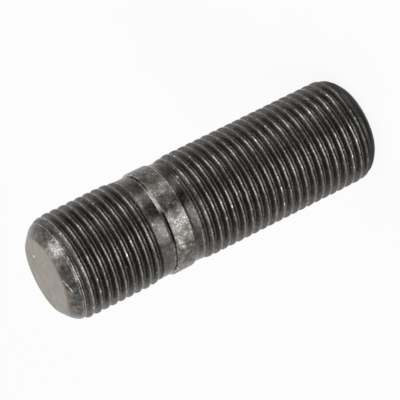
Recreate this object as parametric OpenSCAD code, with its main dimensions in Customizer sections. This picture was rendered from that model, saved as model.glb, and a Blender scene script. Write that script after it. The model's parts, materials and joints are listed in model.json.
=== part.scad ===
// Double-ended wheel stud: one solid bar of rolled steel, standing on the end that takes the wheel nut.
// Both ends carry a right-hand metric fine thread. The middle has a plain collar between two plain necks.

/* [Thread] */
// Diameter over the crests of both threads
thread_d = 17.75; // [17.6:0.05:20]
// Rise of one full turn
pitch = 1.5; // [1.4:0.05:2]
// Depth of the groove, from crest to root
groove_h = 0.78; // [0.6:0.01:0.85]
// Width of the flat left on each crest
crest_w = 0.28; // [0.2:0.01:0.4]
// Angle between the two flanks of a groove
flank_angle = 60; // [50:1:60]

/* [Nut end] */
// Length from the end face to the plain neck
nut_end_l = 34.3; // [12:0.1:60]
// Diameter of the flat end face that the stud stands on
nut_face_d = 13.7; // [9:0.1:14]
// Radius that rounds the nose into the first crests
nut_nose_r = 4; // [1:0.1:4.5]
// Length over which the grooves fade into the neck
nut_runout_l = 2.5; // [2:0.1:5]
// Angle at which the thread starts
nut_start_a = 133; // [0:1:359]

/* [Hub end] */
// Length from the end face to the plain neck
hub_end_l = 17.2; // [12:0.1:40]
// Diameter of the flat end face
hub_face_d = 12.8; // [9:0.1:14]
// Radius that rounds the nose into the first crests
hub_nose_r = 4; // [1:0.1:4.5]
// Length over which the grooves fade into the neck
hub_runout_l = 3.1; // [2:0.1:5]
// Angle at which the thread starts
hub_start_a = 210; // [0:1:359]

/* [Noses] */
// Slope of both bevelled noses, measured from the axis
nose_angle = 50; // [40:1:60]

/* [Collar and necks] */
// Diameter of the plain collar
collar_d = 17.65; // [17.4:0.05:18]
// Length of the collar at its full diameter
collar_l = 3.3; // [1:0.1:10]
// Radius on both edges of the collar
collar_edge_r = 0.12; // [0.05:0.01:0.15]
// Diameter of the neck on the nut side
nut_neck_d = 17; // [16:0.05:17.1]
// Length of the plain part of that neck
nut_neck_l = 0.7; // [0.5:0.1:10]
// Length of the slope from that neck up to the collar
nut_slope_l = 0.7; // [0.3:0.05:2]
// Diameter of the neck on the hub side
hub_neck_d = 17.05; // [16:0.05:17.1]
// Length of the plain part of that neck
hub_neck_l = 1.35; // [0.5:0.05:10]
// Diameter at the bottom of the recess between that neck and the collar
recess_d = 16.2; // [15.8:0.05:17]
// Length of the bottom of the recess
recess_l = 0.35; // [0.3:0.05:2]
// Length of the wall on each side of the recess
recess_wall_l = 0.1; // [0.05:0.05:0.5]

/* [Hidden] */
$fn = 96;
steel = "#4a4643";
// Flat facets round each threaded end
sides = 32;
// Corner lines of the thread form in one pitch: two edges of the crest, then two of the root
corners = 4;
// The facets at a neck stay this far inside its true circle
rim_step = 0.03;
// The middle laps this far over the end ring of both threads, so that all three are one solid
neck_lap = 0.02;
// At both ends of a thread the corner lines crowd together over this much of their climb
crowd_l = 2 * pitch;
// Climb left free between an end ring and the nearest corner line
free_l = pitch / 3;

crest_r = thread_d / 2;
root_r = crest_r - groove_h;
flank_w = groove_h * tan(flank_angle / 2);
corner_z = [0, crest_w, crest_w + flank_w, pitch - flank_w];

nut_neck_z = nut_end_l;
nut_slope_z = nut_neck_z + nut_neck_l;
collar_z = nut_slope_z + nut_slope_l;
collar_top_z = collar_z + collar_l;
recess_z = collar_top_z + recess_wall_l;
hub_neck_z = recess_z + recess_l + recess_wall_l;
hub_end_z = hub_neck_z + hub_neck_l;
stud_l = hub_end_z + hub_end_l;

// Climb of corner line k at facet corner j of its turn: one pitch for each full turn
function climb(k, j) = free_l + pitch * floor(k / corners) + corner_z[k % corners] + pitch * j / sides;

// Height that belongs to a climb: equal steps along the thread, shorter ones where the lines crowd together
function height(u, end_l) =
    let (left = end_l + crowd_l - u)
    u < crowd_l ? u * u / (2 * crowd_l) :
    left < crowd_l ? end_l - left * left / (2 * crowd_l) :
    u - crowd_l / 2;

// Radius of the nose at height z: a cone from the end face, an arc, then the crest cylinder
function nose(z, face_r, round_r) =
    let (cone_l = (crest_r - face_r) / tan(nose_angle))
    let (tangent_l = round_r * tan(nose_angle / 2))
    let (arc_end = cone_l + tangent_l)
    let (arc_start = cone_l - tangent_l * cos(nose_angle))
    z < arc_start ? face_r + z * tan(nose_angle) :
    z < arc_end ? crest_r - round_r + sqrt(round_r * round_r - (arc_end - z) * (arc_end - z)) :
    crest_r;

// Share of the thread form that is left at height z, easing from all of it to none over the run-out
function thread_left(z, end_l, runout_l) =
    let (t = min(1, (end_l - z) / runout_l))
    t * t * (3 - 2 * t);

// Radius of corner line k at height z
function corner_r(k, z, end_l, face_r, round_r, neck_r, runout_l) =
    let (form_r = k % corners < 2 ? crest_r : root_r)
    let (whole_r = min(form_r, nose(z, face_r, round_r)))
    neck_r + (whole_r - neck_r) * thread_left(z, end_l, runout_l);

function around(r, j, z) = [r * cos(360 * j / sides), r * sin(360 * j / sides), z];

// One threaded end, from its end face at z = 0 up to the neck. The corner lines climb round the bar as
// helices: after one turn, line k arrives where line k + corners began.
module threaded_end(end_l, face_d, round_r, neck_d, runout_l) {
    face_r = face_d / 2;
    neck_r = neck_d / 2 - rim_step;
    top_climb = end_l + crowd_l - free_l;
    last = max([for (k = [0:corners * ceil(top_climb / pitch)]) if (climb(k, sides - 1) < top_climb) k]);

    points = [
        for (j = [0:sides - 1]) around(face_r, j, 0),
        for (k = [0:last], j = [0:sides - 1])
            let (z = height(climb(k, j), end_l))
            around(corner_r(k, z, end_l, face_r, round_r, neck_r, runout_l), j, z),
        for (j = [0:sides - 1]) around(neck_r, j, end_l)
    ];

    // Index of the point at facet corner j of line k. Line -1 is the end face and line last + 1 the neck ring.
    function at(k, j) = j < sides ? (k + 1) * sides + j : (k + 1 + corners) * sides;
    // Two triangles of the band between lines k and k + 1
    function cell(k, j) = [
        [at(k, j), at(k + 1, j), at(k + 1, j + 1)],
        [at(k, j), at(k + 1, j + 1), at(k, j + 1)]
    ];

    // Where the first turn closes it meets the starts of the first lines, and the last turn likewise
    first_seam = [at(-1, 0), for (k = [0:corners]) at(k, 0)];
    last_seam = [for (k = [last - corners:last]) at(k, sides - 1), at(last + 1, sides - 1)];

    faces = [
        [for (j = [0:sides - 1]) at(-1, j)],
        [for (j = [sides - 1:-1:0]) at(last + 1, j)],
        for (k = [-1:last], j = [0:sides - 2]) each cell(k, j),
        for (k = [0:last - corners - 1]) each cell(k, sides - 1),
        for (i = [0:corners]) [at(-1, sides - 1), first_seam[i + 1], first_seam[i]],
        [at(-1, sides - 1), at(0, sides - 1), first_seam[corners + 1]],
        for (i = [0:corners]) [at(last + 1, 0), last_seam[i], last_seam[i + 1]],
        [at(last + 1, 0), at(last, 0), last_seam[0]]
    ];
    polyhedron(points, faces);
}

// Middle of the bar, turned as one profile: neck, slope, collar, recess, neck
module collar_and_necks() {
    inner_r = collar_d / 2 - collar_edge_r;
    rotate_extrude()
        polygon([
            [0, nut_neck_z - neck_lap],
            [nut_neck_d / 2, nut_neck_z - neck_lap],
            [nut_neck_d / 2, nut_slope_z],
            for (a = [0:30:90]) [inner_r + collar_edge_r * sin(a), collar_z + collar_edge_r * (1 - cos(a))],
            for (a = [90:-30:0]) [inner_r + collar_edge_r * sin(a), collar_top_z - collar_edge_r * (1 - cos(a))],
            [recess_d / 2, recess_z],
            [recess_d / 2, recess_z + recess_l],
            [hub_neck_d / 2, hub_neck_z],
            [hub_neck_d / 2, hub_end_z + neck_lap],
            [0, hub_end_z + neck_lap]
        ]);
}

module stud() {
    color(steel) {
        rotate(nut_start_a)
            threaded_end(nut_end_l, nut_face_d, nut_nose_r, nut_neck_d, nut_runout_l);
        collar_and_necks();
        translate([0, 0, stud_l])
            rotate([180, 0, 0])
                rotate(hub_start_a)
                    threaded_end(hub_end_l, hub_face_d, hub_nose_r, hub_neck_d, hub_runout_l);
    }
}

stud();
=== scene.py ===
# %% [markdown]
# # A double-ended wheel stud
#
# The real object is one bar of steel. Its two threads were rolled, not cut: hard dies squeezed grooves into
# a plain blank until the metal rose into crests. Between the threads the blank shows as two necks and a
# collar. The whole bar was then coated with dark phosphate and oiled, and its end faces were ground flat.
#
# The script builds that bar as one closed surface, gives it one layered steel finish, and lights it softly.

# %% The frame
import json
import bpy
import numpy as np
from mathutils import Matrix, Vector


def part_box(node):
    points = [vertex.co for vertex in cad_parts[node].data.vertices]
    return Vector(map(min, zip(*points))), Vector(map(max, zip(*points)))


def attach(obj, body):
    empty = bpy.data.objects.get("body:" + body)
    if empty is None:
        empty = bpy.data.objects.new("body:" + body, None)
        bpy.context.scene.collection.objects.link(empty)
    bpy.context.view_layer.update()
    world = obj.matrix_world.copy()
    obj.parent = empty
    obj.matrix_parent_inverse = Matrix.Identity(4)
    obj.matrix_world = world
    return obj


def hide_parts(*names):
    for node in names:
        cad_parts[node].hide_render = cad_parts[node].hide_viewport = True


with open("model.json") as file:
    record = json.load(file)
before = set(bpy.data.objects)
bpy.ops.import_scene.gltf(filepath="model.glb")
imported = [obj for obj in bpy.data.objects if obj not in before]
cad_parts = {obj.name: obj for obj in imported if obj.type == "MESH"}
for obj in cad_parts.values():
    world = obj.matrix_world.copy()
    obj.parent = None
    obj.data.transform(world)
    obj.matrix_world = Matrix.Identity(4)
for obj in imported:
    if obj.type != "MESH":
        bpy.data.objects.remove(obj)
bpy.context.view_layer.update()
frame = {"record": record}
MM = 0.001
stud_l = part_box("stud")[1].z / MM
mounts = {m["name"]: m for m in frame["record"]["mounts"]}
crest_r = mounts["nut_thread"]["dims"]["r_mm"]
collar_r = mounts["collar"]["dims"]["r_mm"]
print("stud", round(stud_l, 2), "mm long, crests at", crest_r, "mm, collar at", collar_r, "mm")

# %% [markdown]
# ## Sizes
#
# The frame gives the length, the crest radius and the collar. The other sizes are those of the solid model,
# in millimetres: they have to agree, because the new surface stands in the same place as the solid.

# %% Sizes in millimetres
pitch = 1.5
groove_h = 0.78
crest_w = 0.28
nose_angle = np.radians(50)
nut_end_l, nut_face_r, nut_nose_r, nut_runout_l = 34.3, 6.85, 4.0, 2.5
hub_end_l, hub_face_r, hub_nose_r, hub_runout_l = 17.2, 6.4, 4.0, 3.1
nut_neck_r, nut_neck_l, nut_slope_l = 8.5, 0.7, 0.7
collar_l, collar_edge_r = 3.3, 0.12
wall_l, recess_l, recess_r = 0.1, 0.35, 8.1
hub_neck_l, hub_neck_r = 1.35, 8.525
# Heights at which a crest of each thread passes the +X side of the bar
nut_crest_z, hub_crest_z = 0.085, 1.335

nut_slope_z = nut_end_l + nut_neck_l
collar_z = nut_slope_z + nut_slope_l
wall_z = collar_z + collar_l
recess_z = wall_z + wall_l
step_z = recess_z + recess_l
hub_neck_z = step_z + wall_l
hub_end_z = hub_neck_z + hub_neck_l
print("collar from", round(collar_z, 2), "to", round(wall_z, 2), "mm")
print("hub end from", round(hub_end_z, 2), "mm")

# %% [markdown]
# ## The rolled thread form
#
# A rolled thread has a narrow crest with straight flanks and a rounded root. The crest is what hands and
# nuts touch, so it gets rubbed bright, and the root keeps its oil.
#
# One pitch is described by a few corner lines at chosen phases: close together where the form bends, far
# apart on the straight flanks. That keeps the bends crisp with few faces. A picture of the grooves used as
# displacement would need millions of them.

# %% Corner lines of one pitch
half_form = np.array([0.04, 0.075, 0.1, 0.135, 0.24, 0.34, 0.4, 0.45])
phases = np.concatenate([[0], half_form, [0.5], 1 - half_form[::-1]])
lines_a_turn = len(phases)
around = 128
theta = 2 * np.pi * np.arange(around) / around
half_thread_angle = np.radians(30)
soft_crest, soft_root = 0.05, 0.16


def off_crest(phase):
    """Distance from the nearest crest's middle, in pitches: 0 on the crest, 0.5 in the root."""
    return np.abs((phase + 0.5) % 1 - 0.5)


def groove_depth(off):
    """Depth below the crest, in mm: level on the crest, then a straight flank down to the root. The flank is
    a ramp clamped at both ends, and a square root rounds the two bends, the root more than the crest."""
    flank = groove_h * np.tan(half_thread_angle) / pitch
    t = (off - crest_w / 2 / pitch) / flank
    from_crest = 0.5 * (t + np.sqrt(t**2 + soft_crest**2))
    past_root = 0.5 * (t - 1 + np.sqrt((t - 1) ** 2 + soft_root**2))
    return groove_h * (from_crest - past_root)


root_depth = float(groove_depth(0.5))
print(lines_a_turn, "corner lines a turn,", around, "points round, root", round(root_depth, 3), "mm deep")

# %% [markdown]
# ## From an end face to a neck
#
# Each threaded end is a nose that narrows to the end face, a stretch of full thread, and a run-out where
# the grooves fade into the neck. The helix itself is one long strip: each corner line climbs one pitch a
# turn, so after a turn it arrives where the same line of the next pitch began. At both ends the lines crowd
# together, so that the strip closes against a plain ring without a step.

# %% Nose, run-out and climb
# The lines crowd over crowd_l at each end, and none starts or stops within free_l of a plain ring
crowd_l = 2 * pitch
free_l = pitch / 3
rim_r = 0.4


def nose_radius(d, face_r, round_r):
    """Radius at distance d from the end face: a small rim arc that starts square to the face, a cone at
    nose_angle, a large arc tangent to the cone, then the crest."""
    rim_d = rim_r * (1 - np.sin(nose_angle))
    flat_r = face_r - rim_r * np.tan(np.pi / 4 - nose_angle / 2)
    rim = flat_r + np.sqrt(np.maximum(rim_r**2 - (rim_r - d) ** 2, 0))
    cone_l = (crest_r - face_r) / np.tan(nose_angle)
    tangent_l = round_r * np.tan(nose_angle / 2)
    arc_end = cone_l + tangent_l
    arc_start = cone_l - tangent_l * np.cos(nose_angle)
    arc = crest_r - round_r + np.sqrt(np.maximum(round_r**2 - (arc_end - d) ** 2, 0))
    cone = face_r + d * np.tan(nose_angle)
    return np.where(d < rim_d, rim, np.where(d < arc_start, cone, np.where(d < arc_end, arc, crest_r)))


def eased_share(d, start, length):
    """0 up to start, easing to 1 over the length, and 1 beyond."""
    t = np.clip((d - start) / length, 0, 1)
    return t * t * (3 - 2 * t)


def climb_to_height(climb, length):
    """Height for a climb along the helix: equal steps, but shorter ones over the first and last crowd_l."""
    left = length + crowd_l - climb
    slow_start = climb**2 / (2 * crowd_l)
    slow_end = length - left**2 / (2 * crowd_l)
    return np.where(climb < crowd_l, slow_start, np.where(left < crowd_l, slow_end, climb - crowd_l / 2))


# %% One threaded end as a grid of corner lines by points round
# Each groove runs out over groove_fade, this far from its neck
groove_fade = 0.3
nut_groove_end, hub_groove_end = 0.02, 0.42


def threaded_end(z_low, length, crest_z, face_low, face_r, round_r, neck_r, runout_l, groove_end):
    """Height and radius on the grid, the distance off the crest in pitches, how much of the groove is left,
    and the nose's radius. Each line at angle theta has climbed its own start plus pitch * theta / full turn.
    Crests sink to the neck over the run-out, grooves keep their depth until groove_end from the neck, and the
    nose cuts off what stands out of it."""
    turns = np.arange(-2, int(length / pitch) + 4)
    start = ((turns[:, None] + phases[None, :]) * pitch).ravel()
    start = start + (crest_z - z_low) % pitch + crowd_l / 2
    start = start[(start > free_l) & (start + pitch < length + crowd_l - free_l)]
    height = climb_to_height(start[:, None] + pitch * theta[None, :] / (2 * np.pi), length)
    off = off_crest((z_low + height - crest_z) / pitch - theta[None, :] / (2 * np.pi))
    from_face = height if face_low else length - height
    to_neck = length - from_face
    crest_line = neck_r + (crest_r - neck_r) * eased_share(to_neck, 0, runout_l)
    groove_left = eased_share(to_neck, groove_end, groove_fade)
    cut = np.minimum(crest_line, crest_r - groove_depth(off))
    nose = nose_radius(from_face, face_r, round_r)
    radius = np.minimum(crest_line + (cut - crest_line) * groove_left, nose)
    return z_low + height, radius, off, groove_left, nose


nut_z, nut_r, nut_off, nut_left, nut_nose = threaded_end(
    0, nut_end_l, nut_crest_z, True,
    nut_face_r, nut_nose_r, nut_neck_r, nut_runout_l, nut_groove_end)
hub_z, hub_r, hub_off, hub_left, hub_nose = threaded_end(
    hub_end_z, hub_end_l, hub_crest_z, False,
    hub_face_r, hub_nose_r, hub_neck_r, hub_runout_l, hub_groove_end)
print("nut end", nut_z.shape, "hub end", hub_z.shape)

# %% [markdown]
# ## The plain rings
#
# The end faces, the necks and the collar are turned shapes. Rings of the same number of points as the helix
# lines are enough for them, and join them without a seam. Each shape is a short list of heights and radii,
# with arcs where an edge is rounded.

# %% End faces and the middle of the bar
face_steps = np.array([0.1, 0.3, 0.5, 0.68, 0.82, 0.92, 0.97])


def end_face(face_r):
    """Radius and distance below the face plane for rings from the middle out: flat, then the first part of
    the rim arc, which the first helix line carries on."""
    flat_r = face_r - rim_r * np.tan(np.pi / 4 - nose_angle / 2)
    turn = np.radians([0, 9, 18, 27])
    arc_r = flat_r + rim_r * np.sin(turn)
    arc_d = rim_r * (1 - np.cos(turn))
    return np.concatenate([face_steps * flat_r, arc_r]), np.concatenate([0 * face_steps, arc_d])


def edge_arc(r_edge, z_edge, up):
    """Rings over one edge of the collar: a quarter circle of collar_edge_r."""
    a = np.radians(np.arange(0, 91, 18))
    r = r_edge - collar_edge_r * (1 - np.sin(a))
    z = z_edge + collar_edge_r * (1 - np.cos(a))
    return (r, z) if up else (r[::-1], 2 * z_edge - z[::-1])


def eased(a, b, n):
    """n values from a to b that leave a and reach b gently, as a fillet does."""
    t = np.linspace(0, 1, n)
    return a + (b - a) * t**2 * (3 - 2 * t)


low_r, low_d = end_face(nut_face_r)
high_r, high_d = end_face(hub_face_r)
edge1_r, edge1_z = edge_arc(collar_r, collar_z, True)
edge2_r, edge2_z = edge_arc(collar_r, wall_z, False)
foot_r = collar_r - collar_edge_r
mid_z = np.concatenate([
    np.linspace(nut_end_l, nut_slope_z - 0.1, 6), np.linspace(nut_slope_z, collar_z - 0.02, 8), edge1_z,
    np.linspace(collar_z + 0.3, wall_z - 0.3, 14), edge2_z,
    np.linspace(wall_z + 0.01, recess_z, 7), np.linspace(recess_z + 0.08, step_z - 0.08, 4),
    np.linspace(step_z, hub_neck_z, 6), np.linspace(hub_neck_z + 0.1, hub_end_z, 6)])
mid_r = np.concatenate([
    np.full(6, nut_neck_r), eased(nut_neck_r, foot_r, 8), edge1_r, np.full(14, collar_r), edge2_r,
    eased(foot_r, recess_r, 7), np.full(4, recess_r), eased(recess_r, hub_neck_r, 6), np.full(6, hub_neck_r)])
print(len(low_r), "rings on each end face,", len(mid_r), "rings in the middle")


# %% [markdown]
# ## Joining the blocks
#
# From the bottom up the surface is: face rings, helix lines, middle rings, helix lines, face rings. Every
# row has the same number of points, so a band between two rows is plain index arithmetic on whole arrays.
# Only where a helix starts or ends does one column meet a whole turn of lines, and a small fan closes that
# gap.

# %% Rows, bands and fans
blocks = [
    ("rings", low_d, low_r),
    ("helix", nut_z, nut_r),
    ("rings", mid_z, mid_r),
    ("helix", hub_z, hub_r),
    ("rings", stud_l - high_d[::-1], high_r[::-1]),
]


def on_grid(kind, values):
    """A helix is a grid already. A ring's one value is repeated round the bar."""
    return values if kind == "helix" else np.repeat(values[:, None], around, 1)


heights = np.vstack([on_grid(kind, z) for kind, z, r in blocks])
radii = np.vstack([on_grid(kind, r) for kind, z, r in blocks])
row_kind = np.concatenate([np.full(len(z), kind == "helix") for kind, z, r in blocks])
row_block = np.concatenate([np.full(len(z), number) for number, (kind, z, r) in enumerate(blocks)])


def band(rows, columns, right_shift):
    """Quads between each row and the next, over the given columns. The right-hand neighbour of the last
    column is column 0, right_shift rows further on: 0 for rings, one turn of lines for a helix."""
    i, j = np.meshgrid(rows, columns, indexing="ij")
    wraps = j == around - 1
    right = np.where(wraps, (i + right_shift) * around, i * around + j + 1)
    here = i * around + j
    return np.stack([here, right, right + around, here + around], -1).reshape(-1, 4)


def helix_faces(first, last):
    """Bands of the lines first to last, the half-open rows on both sides, and the two closing fans."""
    whole = np.arange(around - 1)
    quads = [band(np.arange(first - 1, last + 1), whole, 0),
             band(np.arange(first, last - lines_a_turn), [around - 1], lines_a_turn)]
    start = [(first - 1 + i) * around for i in range(lines_a_turn + 2)]
    low_apex = first * around - 1
    fans = [[low_apex, a, b] for a, b in zip(start, start[1:])]
    fans.append([low_apex, start[-1], low_apex + around])
    end = [(last - lines_a_turn + i) * around + around - 1 for i in range(lines_a_turn + 2)]
    high_apex = (last + 1) * around
    fans += [[high_apex, b, a] for a, b in zip(end, end[1:])]
    fans.append([high_apex, end[0], last * around])
    return quads, fans


quads, fans = [], []
for number, (kind, z, r) in enumerate(blocks):
    first = int(np.argmax(row_block == number))
    last = first + len(z) - 1
    if kind == "helix":
        more_quads, more_fans = helix_faces(first, last)
        quads += more_quads
        fans += more_fans
    else:
        quads.append(band(np.arange(first, last), np.arange(around), 0))
quads = np.vstack(quads)
print(len(heights), "rows,", len(quads), "quads and", len(fans), "fan triangles")

# %% [markdown]
# ## Small faults in the metal
#
# Nothing rolled by the thousand is perfect. Crests are not all equally full or quite straight, the nose is
# knocked here and there, and the collar is slightly uneven. Smooth noise that repeats round the bar moves
# the surface by a few hundredths of a millimetre, outward and along the bar. A sum of waves is used because
# each wave closes round the bar by itself.

# %% Noise that closes round the bar
rng = np.random.default_rng(18)
helix_soft, helix_fine, ring_soft, crest_wander = 0.008, 0.003, 0.004, 0.02


def wavy(z, angle, count, turns, length):
    """Sum of count cosine waves over the bar's surface, each with a whole number of waves round it, so that
    the pattern closes. Its spread is about 1."""
    total = np.zeros_like(z)
    for _ in range(count):
        m = rng.integers(-turns, turns + 1)
        k = rng.normal() * 2 * np.pi / length
        total += np.cos(m * angle + k * z + rng.uniform(0, 2 * np.pi))
    return total * np.sqrt(2 / count)


angles = np.repeat(theta[None, :], len(heights), 0)
in_helix = row_kind[:, None]
soft_noise = wavy(heights, angles, 24, 9, 4.0)
fine_noise = wavy(heights, angles, 40, 40, 0.7)
radii = radii + np.where(in_helix, helix_soft * soft_noise + helix_fine * fine_noise, ring_soft * soft_noise)
from_ends = np.min([abs(heights - h) for h in (0, nut_end_l, hub_end_z, stud_l)], 0)
free_to_wander = np.clip(from_ends - 0.3, 0, 1)
heights = heights + in_helix * crest_wander * free_to_wander * wavy(heights, angles, 40, 30, 2.5)
points = np.stack([radii * np.cos(angles), radii * np.sin(angles), heights], -1).reshape(-1, 3)
print("surface moved by up to", round(float(np.abs(helix_soft * soft_noise).max()), 3), "mm")

# %% The mesh
# One more point closes the middle of each end face
pole_low = len(points)
points = np.vstack([points, [[0, 0, 0], [0, 0, stud_l]]])
ring = np.arange(around)
top_row = (len(heights) - 1) * around
low_fan = np.stack([np.full(around, pole_low), (ring + 1) % around, ring], -1)
high_fan = np.stack([np.full(around, pole_low + 1), top_row + ring, top_row + (ring + 1) % around], -1)
faces = quads.tolist() + fans + low_fan.tolist() + high_fan.tolist()
mesh = bpy.data.meshes.new("stud_surface")
mesh.from_pydata((points * MM).tolist(), [], faces)
mesh.polygons.foreach_set("use_smooth", np.ones(len(faces), bool))
mesh.update()
stud = bpy.data.objects.new("wheel_stud", mesh)
bpy.context.scene.collection.objects.link(stud)
print("mesh valid:", not mesh.validate(), "triangles:", 2 * len(quads) + len(fans) + 2 * around)

# %% [markdown]
# ## What the finish needs to know
#
# The finish changes with the form: oil lies in the grooves, the lips of the crests are rubbed bright, and
# the end faces are ground bare. A painted picture would have to be unwrapped round a helix. Instead each of
# these is worked out with the shape and stored on the points as a number, mostly from 0 to 1, so that the
# material follows the thread exactly. Two soft steps are enough to say where a thing is: a ramp, and a
# window made of two ramps.

# %% Tools for values on the points
def ramp(values, low, high):
    """0 up to low, 1 from high on, straight between. With low above high it falls instead."""
    return np.clip((values - low) / (high - low), 0, 1)


def window(values, low, high, soft):
    """1 between low and high, falling to 0 over the soft width outside them."""
    return ramp(values, low - soft, low) * (1 - ramp(values, high, high + soft))


def all_rows(nut_part, hub_part, low=0.0, middle=0.0, high=0.0):
    """One grid for the whole bar: the values of the two threaded ends, and one plain number for each of the
    three blocks of rings."""
    plain = ((low_r, low), (mid_r, middle), (high_r, high))
    rings = [np.full((len(r), around), number) for r, number in plain]
    return np.vstack([rings[0], nut_part, rings[1], hub_part, rings[2]])


def store(name, values):
    """Keep the values on the mesh's points under a name that the material can read. The middle point of each
    end face gets the mean of the ring round it."""
    layer = mesh.attributes.new(name, "FLOAT", "POINT")
    ends = [values[0].mean(), values[-1].mean()]
    layer.data.foreach_set("value", np.concatenate([values.ravel(), ends]).astype(np.float32))
    print(name, "from", round(float(values.min()), 2), "to", round(float(values.max()), 2))


# %% Where things are on the bar
off = all_rows(nut_off, hub_off, 0.5, 0.5, 0.5)
groove_left = all_rows(nut_left, hub_left)
nose_r = all_rows(nut_nose, hub_nose, nut_face_r, crest_r, hub_face_r)
above_groove = nose_r - (crest_r - groove_depth(off))
root_r = crest_r - root_depth
ring_z = np.where(in_helix, 0, heights)
near_hub = heights > hub_end_z
end_faces = np.isin(row_block, (0, 4))[:, None]
on_necks = (ring_z > 1) & (ring_z < stud_l - 1) & ((ring_z < collar_z) | (ring_z >= hub_neck_z))
in_recess = window(ring_z, wall_z + 0.02, hub_neck_z + 0.02, 0.08)
bevel = ramp(nose_r, crest_r - 0.6, hub_face_r + 0.1) * in_helix
far_nose = ramp(crest_r - nose_r, 0, 0.3) * in_helix * (heights < nut_end_l)
# Degrees round the bar from the front, positive towards +X
side_angle = np.degrees((angles + np.pi / 2 + np.pi) % (2 * np.pi) - np.pi)

# %% Lips, grooves, bare metal and necks
nose_reaches_thread = ramp(nose_r, root_r - 0.05, root_r + 0.1)
store("lip", (1 - ramp(off, 0.05, 0.08)) * groove_left * nose_reaches_thread * (1 - 0.8 * far_nose))
store("groove", ramp(off, 0.085, 0.13) * groove_left * ramp(above_groove, 0, 0.1))
store("ground", np.maximum(end_faces, 0.5 * bevel * near_hub))
store("neck", np.maximum(on_necks, in_helix * (1 - 0.5 * bevel)))

# %% [markdown]
# ## Dirt, stains, painted shade and painted light
#
# Dirt lies on the necks, and oil has stained the near bevel in two places and the far nose all round. The
# recess beside the collar and the fillet under the collar's other edge are darkened by painted shade, most at
# the front, and the recess is lightened by painted light at the sides and back. The threads carry painted
# light on one side of the bar and painted shade on the other. Each place is a window in height times a window
# in the angle round the bar. Noise would put such places anywhere, and here they have to lie where the
# photograph shows them.

# %% Dirt, stains, painted shade and painted light
# Painted shade: the recess beside the collar is darkened all round, most at the front
recess_painted_shade = in_recess * (0.1 + 0.7 * window(side_angle, -25, -3, 12))
hub_neck_dirt = 0.35 * window(ring_z, hub_neck_z - 0.1, hub_neck_z + 0.5, 0.3) * window(side_angle, 42, 58, 6)
nut_neck_dirt = 0.42 * ((ring_z > nut_end_l - 0.01) & (ring_z < collar_z - 0.3))
# Painted shade: a dark band in the fillet under the collar's nut-side edge, most at the front
under_collar = window(ring_z, collar_z - 0.38, collar_z - 0.02, 0.08)
under_collar_painted_shade = under_collar * (0.3 + 0.7 * window(side_angle, -22, 4, 8))
# Dirt on the necks and the painted shade of the recess and the collar's fillet, kept as one value
store("dirt", np.max([recess_painted_shade, hub_neck_dirt, nut_neck_dirt, under_collar_painted_shade], 0))

bevel_stain = 0.25 + 0.5 * window(side_angle, -20, 2, 6) + 0.35 * window(side_angle, 42, 55, 6)
on_noses = ramp(crest_r - nose_r, 0.1, 0.5) * in_helix
store("stain", on_noses * np.where(near_hub, bevel * bevel_stain, 0.9))

# Painted light and painted shade: the threads are lighter on one side of the bar and darker on the other, and
# the recess is lighter at the sides and back
painted_light_side = 0.55 * window(side_angle, 17, 30, 12)
painted_shade_side = 0.25 * window(side_angle, -28, -3, 8)
recess_painted_light = 1.3 * in_recess * window(abs(side_angle), 38, 100, 8)
store("tone", 1 + in_helix * (painted_light_side - painted_shade_side) + recess_painted_light)

# %% The bevel's ragged edge
# Where the bevel cuts the first groove, on the side of the crest that faces the bar
hub_phase = ((heights - hub_crest_z) / pitch - angles / (2 * np.pi)) % 1
bar_side = near_hub * (hub_phase > 0.5)
cut_by_bevel = window(nose_r, root_r + 0.08, crest_r - 0.03, 0.03)
store("bevel_edge", cut_by_bevel * ramp(off, 0.06, 0.1) * bar_side * in_helix)
store("above_groove", above_groove)

# %% [markdown]
# ## Scuffs where this stud was knocked, and a painted highlight
#
# The stud in the photograph has a few marks of its own: a scuffed patch and a scratch on the hub end's bevel,
# flakes on the collar, a rubbed collar edge and a bright spot where the nut thread runs out. A bright band
# over the recess beside the collar is a painted highlight, kept with them. They are windows again, kept as
# one more value, and some go above 1 so that they stay nearly whole when noise in the material breaks their
# outlines up.

# %% Scuffs and the painted highlight as windows on the surface
bevel_patch = 1.05 * window(side_angle, 17, 30, 9) * window(heights, stud_l - 1.9, stud_l - 0.9, 0.7)
# Painted highlight: a bright band over the recess wall on one side of the bar
recess_painted_highlight = 2.2 * window(side_angle, 14, 31, 10) * window(heights, wall_z + 0.02, step_z - 0.05, 0.05)
collar_flakes = window(side_angle, -39, -30, 5) * window(heights, wall_z - 1.4, wall_z - 0.6, 0.3)
collar_edge = 0.7 * window(side_angle, 18, 75, 10) * window(heights, collar_z, collar_z + 0.15, 0.05)
run_out_spot = window(side_angle, 33, 36, 2) * window(heights, nut_end_l - 0.9, nut_end_l - 0.5, 0.15)
scratch_z = stud_l - 0.2 + 0.7 * (side_angle + 16) / 17
scratch = window(abs(heights - scratch_z), 0, 0.05, 0.07) * window(side_angle, -33, -16, 2)
scuff = np.max([bevel_patch, recess_painted_highlight, collar_flakes, collar_edge, run_out_spot, scratch], 0)
store("scuff", scuff)
print("scuffed share of the points:", round(float((scuff > 0.3).mean()), 4))

# %% [markdown]
# ## The finish
#
# Phosphated and oiled steel is still metal to the eye: it mirrors the studio darkly, about a tenth as bright
# as what it faces. So one metallic shader carries the whole bar, and its colour says how much each place
# mirrors. The stored values mix the kinds of place: mottled coat, smoother necks, dark oily grooves, worn
# bright lips, stains, dirt, painted shade and painted light, bare end faces, scuffs and a painted highlight.
# Noise on Object coordinates breaks each of them up at the sizes seen on the real bar. Only the scuffs and
# the painted highlight are partly matt: raw scratched metal scatters light, and the painted highlight stays
# bright from every side.

# %% Helpers for nodes
steel = bpy.data.materials.new("phosphated_steel")
steel.use_nodes = True
nodes, links = steel.node_tree.nodes, steel.node_tree.links
shader = nodes["Principled BSDF"]
coordinates = nodes.new("ShaderNodeTexCoord")


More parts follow.
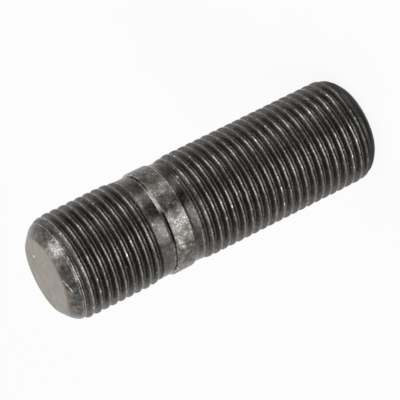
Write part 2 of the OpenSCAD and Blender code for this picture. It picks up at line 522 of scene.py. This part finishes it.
def feed(socket, value):
    """Link a node's output to the socket, or set the socket to a plain value."""
    if isinstance(value, bpy.types.NodeSocket):
        links.new(value, socket)
    else:
        socket.default_value = value


def attribute(name):
    """A value that was stored on the points."""
    node = nodes.new("ShaderNodeAttribute")
    node.attribute_name = name
    return node.outputs["Fac"]


def math(operation, a, b=0.0):
    """One step of arithmetic on two numbers."""
    node = nodes.new("ShaderNodeMath")
    node.operation = operation
    feed(node.inputs[0], a)
    feed(node.inputs[1], b)
    return node.outputs[0]


def vector_math(operation, a, b=(0, 0, 0)):
    """One step of arithmetic on two vectors or colours. A length comes out as a number."""
    node = nodes.new("ShaderNodeVectorMath")
    node.operation = operation
    feed(node.inputs[0], a)
    feed(node.inputs[1], b)
    return node.outputs["Value" if operation == "LENGTH" else "Vector"]


def noise(size_mm, detail=2.0, roughness=0.5):
    """Noise whose features are about size_mm wide."""
    node = nodes.new("ShaderNodeTexNoise")
    node.inputs["Scale"].default_value = 1 / (size_mm * MM)
    node.inputs["Detail"].default_value = detail
    node.inputs["Roughness"].default_value = roughness
    links.new(coordinates.outputs["Object"], node.inputs["Vector"])
    return node.outputs["Fac"]


def between(value, low, high, to_low=0.0, to_high=1.0):
    """Map low..high to to_low..to_high, clamped."""
    node = nodes.new("ShaderNodeMapRange")
    for socket, v in zip(node.inputs, (value, low, high, to_low, to_high)):
        feed(socket, v)
    return node.outputs[0]


def mix(share, a, b):
    """Colour a turning into colour b as share goes from 0 to 1."""
    node = nodes.new("ShaderNodeMix")
    node.data_type = "RGBA"
    feed(node.inputs[0], share)
    feed(node.inputs[6], (*a, 1) if isinstance(a, tuple) else a)
    feed(node.inputs[7], (*b, 1) if isinstance(b, tuple) else b)
    return node.outputs[2]


# %% Mottled coat
coat_dark, coat_light = (0.079, 0.071, 0.062), (0.232, 0.219, 0.205)
coat_pit, coat_flake = (0.045, 0.040, 0.034), (0.56, 0.55, 0.53)
neck_dark, neck_light, neck_flake = (0.044, 0.042, 0.041), (0.092, 0.088, 0.085), (0.26, 0.25, 0.235)

grain = noise(0.22, 1.5, 0.6)
blotch = noise(0.9, 4.0, 0.62)
cloud = noise(4.5, 2.0)
coat_share = math("ADD", between(blotch, 0.36, 0.64), between(cloud, 0.3, 0.7, -0.3, 0.3))
coat = mix(coat_share, coat_dark, coat_light)
coat = mix(between(grain, 0.3, 0.46), coat_pit, coat)
flake_share = math("MULTIPLY", between(grain, 0.56, 0.7), between(blotch, 0.42, 0.6))
coat = mix(flake_share, coat, coat_flake)
neck_coat = mix(between(blotch, 0.35, 0.65), neck_dark, neck_light)
neck_coat = mix(between(grain, 0.5, 0.7, 0.0, 0.3), neck_coat, neck_flake)
coat = mix(math("MULTIPLY", attribute("neck"), 0.78), coat, neck_coat)

# %% Oily groove and worn lip
oil_dark, oil_light = (0.042, 0.037, 0.0318), (0.123, 0.114, 0.104)
oil_pool, oil_glint = (0.05, 0.0445, 0.038), (0.3, 0.29, 0.27)
worn_dull, worn_bright, knock_bright = (0.12, 0.117, 0.112), (0.34, 0.333, 0.32), (0.75, 0.74, 0.71)

specks = noise(0.3, 1.0)
oily = mix(between(grain, 0.38, 0.62), oil_dark, oil_light)
oily = mix(between(cloud, 0.35, 0.65, 0.0, 0.4), oily, oil_pool)
oily = mix(between(specks, 0.68, 0.74), oily, oil_glint)
worn = mix(between(noise(1.3, 3.0), 0.35, 0.65), worn_dull, worn_bright)
knock = between(noise(0.9, 2.0), 0.66, 0.7)
worn = mix(knock, worn, knock_bright)
rubbed = between(specks, 0.35, 0.55, 0.1, 1.0)
wear_share = math("MULTIPLY", attribute("lip"), math("MAXIMUM", rubbed, knock))

# %% Scuffs, the painted highlight and the bevel's edge
scuff_and_highlight_dull, scuff_and_highlight_bright = (0.34, 0.33, 0.315), (0.8, 0.785, 0.76)
edge_dull, edge_bright = (0.17, 0.165, 0.158), (0.62, 0.61, 0.59)

# The larger the stored value, the brighter: the painted highlight comes out brightest
scuff_and_highlight_shine = math("ADD", grain, math("MULTIPLY", attribute("scuff"), 0.12))
scuff_and_highlight_colour = mix(between(scuff_and_highlight_shine, 0.52, 0.72), scuff_and_highlight_dull, scuff_and_highlight_bright)
ragged = between(noise(0.8, 3.0, 0.6), 0.3, 0.6)
scuff_and_highlight_share = between(math("MULTIPLY", attribute("scuff"), ragged), 0.1, 0.9)
edge_line = between(math("ABSOLUTE", attribute("above_groove")), 0.12, 0.26, 1.0, 0.0)
edge_line = math("MULTIPLY", edge_line, attribute("bevel_edge"))
edge_share = math("MULTIPLY", edge_line, between(noise(0.5, 3.0, 0.7), 0.33, 0.47))
edge = mix(between(grain, 0.42, 0.58), edge_dull, edge_bright)
scuff_and_highlight_share = math("MAXIMUM", scuff_and_highlight_share, math("MULTIPLY", edge_share, 0.9))

# %% Bare end faces
grey_dark, grey_light = (0.215, 0.192, 0.168), (0.275, 0.247, 0.218)
brown_dark, brown_light = (0.23, 0.193, 0.157), (0.294, 0.249, 0.206)

bare_mottle = between(noise(1.4, 4.0), 0.35, 0.65)
grey_bare = mix(bare_mottle, grey_dark, grey_light)
brown_bare = mix(bare_mottle, brown_dark, brown_light)
bare = mix(between(noise(3.5, 2.0), 0.4, 0.6), grey_bare, brown_bare)

# %% [markdown]
# The hub end's face has six small nicks. Each is a spot round a point of the face, a little longer from
# front to back than across, with a dark rim round its own colour. They are only a few hundredths deep, so
# colour shows them well enough.

# %% Nicks in the hub end's face
nicks = [
    # Place across and to the back of the axis and size, in mm, then the colour inside
    (3.6, 1.1, 0.36, (0.62, 0.58, 0.45)),
    (1.75, 2.8, 0.28, (0.33, 0.3, 0.27)),
    (2.1, -1.6, 0.17, (0.15, 0.14, 0.12)),
    (4.9, 3.2, 0.15, (0.15, 0.14, 0.12)),
    (2.7, 3.1, 0.15, (0.2, 0.18, 0.16)),
    (-3.2, 2.2, 0.19, (0.22, 0.2, 0.18)),
]
nick_rim = (0.11, 0.1, 0.088)
for x_mm, y_mm, size_mm, inside in nicks:
    offset = vector_math("SUBTRACT", coordinates.outputs["Object"], (x_mm * MM, y_mm * MM, stud_l * MM))
    distance = vector_math("LENGTH", vector_math("MULTIPLY", offset, (1, 0.6, 1)))
    size = size_mm * MM
    bare = mix(between(distance, 1.0 * size, 1.6 * size, 0.6, 0.0), bare, nick_rim)
    bare = mix(between(distance, 0.6 * size, 0.9 * size, 1.0, 0.0), bare, inside)
print(len(nicks), "nicks in the hub end's face")

# %% One shader for the bar
stain_black, dirt_and_shade_black = (0.05, 0.05, 0.045), (0.018, 0.0155, 0.014)

colour = mix(attribute("groove"), coat, oily)
stain_share = between(math("ADD", attribute("stain"), noise(1.5, 2.0)), 0.75, 1.15)
stain_share = math("MULTIPLY", stain_share, between(attribute("stain"), 0.0, 0.2))
colour = mix(stain_share, colour, stain_black)
# Dirt and painted shade darken the colour
colour = mix(attribute("dirt"), colour, dirt_and_shade_black)
colour = mix(wear_share, colour, worn)
bare_patches = between(blotch, 0.36, 0.64, 0.08, 0.32)
ground_share = between(math("ADD", attribute("ground"), bare_patches), 0.4, 1.0)
colour = mix(ground_share, colour, bare)
colour = mix(edge_share, colour, edge)
# Painted light and painted shade scale the colour
colour = vector_math("MULTIPLY", colour, attribute("tone"))
# Scuffs and the painted highlight, partly matt
feed(shader.inputs["Base Color"], mix(scuff_and_highlight_share, colour, scuff_and_highlight_colour))
feed(shader.inputs["Metallic"], between(scuff_and_highlight_share, 0.0, 1.0, 1.0, 0.4))

coat_roughness = between(blotch, 0.3, 0.7, 0.29, 0.37)
thread_roughness = math("MULTIPLY", math("ADD", attribute("lip"), attribute("groove")), 0.12)
neck_smoothness = math("MULTIPLY", attribute("neck"), 0.08)
scuff_and_highlight_roughness = math("MULTIPLY", scuff_and_highlight_share, 0.15)
roughness = math("SUBTRACT", math("ADD", coat_roughness, thread_roughness), neck_smoothness)
feed(shader.inputs["Roughness"], math("ADD", roughness, scuff_and_highlight_roughness))

bump = nodes.new("ShaderNodeBump")
bump.inputs["Distance"].default_value = 0.025 * MM
feed(bump.inputs["Height"], math("ADD", math("MULTIPLY", grain, 0.6), blotch))
feed(shader.inputs["Normal"], bump.outputs["Normal"])
mesh.materials.append(steel)
print("the finish has", len(nodes), "nodes")

# %% What the piece is
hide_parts("stud")
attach(stud, "root")

# %% [markdown]
# ## Camera
#
# The photograph was taken from far away with a long lens, a fifth of a right angle above the stud's middle,
# and the stud lies across the picture. Here the stud stands, so the camera is rolled until the axis falls
# on the same diagonal. Its directions are worked out as three vectors, because a roll is hard to read in
# angles.

# %% Camera
picture_px = 400
focal_px = 2786
mm_a_px = 0.16
tilt = np.radians(20.15)
axis_slope = np.radians(26.5)
middle_z = 29.33
middle_px = np.array([200.3, 199.1])

toward = np.array([0, -np.cos(tilt), np.sin(tilt)])
right0 = np.array([1.0, 0, 0])
up0 = np.cross(toward, right0)
turn_c, turn_s = -np.sin(axis_slope), -np.cos(axis_slope)
right = turn_c * right0 + turn_s * up0
up = -turn_s * right0 + turn_c * up0
shift = (picture_px / 2 - middle_px) * mm_a_px
aim = np.array([0, 0, middle_z]) + right * shift[0] - up * shift[1]
position = aim + toward * focal_px * mm_a_px
turned = Matrix([[*row] for row in np.stack([right, up, toward], 1)]).to_4x4()
camera_data = bpy.data.cameras.new("camera")
camera_data.sensor_width = 36
camera_data.lens = 36 * focal_px / picture_px
camera_data.clip_start = 0.01
camera = bpy.data.objects.new("camera", camera_data)
camera.matrix_world = Matrix.Translation(Vector(position * MM)) @ turned
bpy.context.scene.collection.objects.link(camera)
bpy.context.scene.camera = camera
print("lens", round(camera_data.lens, 1), "mm, camera", np.round(position).tolist(), "mm from the foot")

# %% [markdown]
# ## Floor and light
#
# The floor and the far surroundings are white to the camera and to reflections, through Light Path: that
# whiteness is colour, so it puts no more light on the stud than the plain level that falls on it. A small
# share of the floor stays real, and carries the stud's soft shadow.
#
# A dark metal bar shows its roundness only by what it mirrors. In the photograph a bright strip runs along
# the bar beside the middle, with a dark strip on its other side, then a lighter and a darker one. So a
# luminous sheet lies and rises in front on the left, and a black sheet does the same on the right, as product
# photographers place them. A weaker luminous sheet and a grey one follow further round on the right. A dim
# ring round the foot is a painted shadow: reflections see it in place of the floor's contact shadow, and it
# keeps the far nose dark. Only reflections see the sheets: they cast no shadow and no light on the floor.
# Lamps alone would give thin highlights in place of the broad strip.

# %% White floor
def background_rays(tree):
    """1 for rays from the camera, for reflections and for rays through something clear, 0 for all others."""
    path = tree.nodes.new("ShaderNodeLightPath")
    seen = path.outputs["Is Camera Ray"]
    for kind in ("Is Glossy Ray", "Is Transmission Ray"):
        either = tree.nodes.new("ShaderNodeMath")
        either.operation = "MAXIMUM"
        tree.links.new(seen, either.inputs[0])
        tree.links.new(path.outputs[kind], either.inputs[1])
        seen = either.outputs[0]
    return seen


def seen_white(material, own, share):
    """Mix the own shader with plain white emission by this share, for rays from the camera and for
    reflections. All other rays meet the own shader."""
    tree = material.node_tree
    scaled = tree.nodes.new("ShaderNodeMath")
    scaled.operation = "MULTIPLY"
    scaled.inputs[1].default_value = share
    tree.links.new(background_rays(tree), scaled.inputs[0])
    emission = tree.nodes.new("ShaderNodeEmission")
    mixer = tree.nodes.new("ShaderNodeMixShader")
    tree.links.new(scaled.outputs[0], mixer.inputs[0])
    tree.links.new(own, mixer.inputs[1])
    tree.links.new(emission.outputs[0], mixer.inputs[2])
    return mixer.outputs[0]


half_side = 3.0
corners = [(x * half_side, y * half_side, 0) for x, y in ((-1, -1), (1, -1), (1, 1), (-1, 1))]
floor_mesh = bpy.data.meshes.new("floor")
floor_mesh.from_pydata(corners, [], [(0, 1, 2, 3)])
floor = bpy.data.objects.new("floor", floor_mesh)
bpy.context.scene.collection.objects.link(floor)
white = bpy.data.materials.new("white_floor")
white.use_nodes = True
paint = white.node_tree.nodes["Principled BSDF"]
paint.inputs["Base Color"].default_value = (0.9, 0.9, 0.9, 1)
paint.inputs["Roughness"].default_value = 0.9
output = white.node_tree.nodes["Material Output"]
white.node_tree.links.new(seen_white(white, paint.outputs[0], 0.9), output.inputs["Surface"])
floor_mesh.materials.append(white)
print("floor", 2 * half_side, "m wide")

# %% Surroundings
# The light that falls on the stud, and what is seen on top of it: together 1, which is white
world_light, seen_extra = 0.7, 0.3
world = bpy.data.worlds.new("studio")
world.use_nodes = True
background = world.node_tree.nodes["Background"]
background.inputs["Color"].default_value = (1, 1, 1, 1)
level = world.node_tree.nodes.new("ShaderNodeMath")
level.operation = "MULTIPLY_ADD"
level.inputs[1].default_value = seen_extra
level.inputs[2].default_value = world_light
world.node_tree.links.new(background_rays(world.node_tree), level.inputs[0])
world.node_tree.links.new(level.outputs[0], background.inputs["Strength"])
bpy.context.scene.world = world
print("surroundings: light", world_light, "seen as", world_light + seen_extra)


# %% Luminous and black sheets
def sheet(name, first_deg, last_deg, profile, strength, glow=(1, 1, 1)):
    """A patch of a surface of revolution round the stud: the profile of (radius, height) pairs in mm is
    turned from first_deg to last_deg, where 0 is the front and positive angles lie on the left. It gives off
    the glow colour at this strength, and is nearly black at a low one."""
    a = np.radians(np.linspace(first_deg, last_deg, 25))
    r, z = np.array(profile, float).T * MM
    grid = np.stack([-r[:, None] * np.sin(a), -r[:, None] * np.cos(a), z[:, None] + 0 * a], -1)
    i, j = np.meshgrid(np.arange(len(r) - 1), np.arange(len(a) - 1), indexing="ij")
    corner = (i * len(a) + j).ravel()
    quads = np.stack([corner, corner + 1, corner + len(a) + 1, corner + len(a)], -1)
    sheet_mesh = bpy.data.meshes.new(name)
    sheet_mesh.from_pydata(grid.reshape(-1, 3).tolist(), [], quads.tolist())
    sheet_object = bpy.data.objects.new(name, sheet_mesh)
    bpy.context.scene.collection.objects.link(sheet_object)
    material = bpy.data.materials.new(name)
    material.use_nodes = True
    surface = material.node_tree.nodes["Principled BSDF"]
    surface.inputs["Base Color"].default_value = (0.02, 0.02, 0.02, 1)
    surface.inputs["Emission Color"].default_value = (*glow, 1)
    surface.inputs["Emission Strength"].default_value = strength
    sheet_mesh.materials.append(material)
    sheet_object.visible_camera = False
    sheet_object.visible_shadow = False
    sheet_object.visible_diffuse = False
    print(name, "from", first_deg, "to", last_deg, "degrees, strength", strength)


sweep = [(11, 0.5), (60, 0.5), (300, 0.5), (380, 60), (400, 160)]
sheet("luminous_sheet", 0, 47, sweep, 2.8, (0.95, 0.975, 1))
sheet("black_sheet", -42, -1, sweep, 0.15)
sheet("side_sheet", -66, -48, sweep, 1.7)
sheet("grey_sheet", -112, -72, sweep, 0.5)
# Painted shadow: a dim ring round the foot, seen only in reflections in place of the floor's contact shadow
sheet("foot_ring", -180, 180, [(7, 0.05), (11, 0.3)], 0.26)


# %% Softboxes
def softbox(name, azimuth, elevation, distance, size, power):
    """An area lamp that looks at the stud's middle from the given direction, in degrees and metres. 0 is the
    front and positive angles lie on the left."""
    a, e = np.radians(azimuth), np.radians(elevation)
    direction = Vector((-np.sin(a) * np.cos(e), -np.cos(a) * np.cos(e), np.sin(e)))
    lamp = bpy.data.lights.new(name, "AREA")
    lamp.shape = "DISK"
    lamp.size = size
    lamp.energy = power
    lamp_object = bpy.data.objects.new(name, lamp)
    lamp_object.location = Vector((0, 0, middle_z * MM)) + direction * distance
    lamp_object.rotation_euler = direction.to_track_quat("Z", "Y").to_euler()
    lamp_object.visible_camera = False
    bpy.context.scene.collection.objects.link(lamp_object)


softbox("key", 25, 35, 0.6, 0.3, 1.2)
bpy.context.scene.view_settings.view_transform = "Standard"
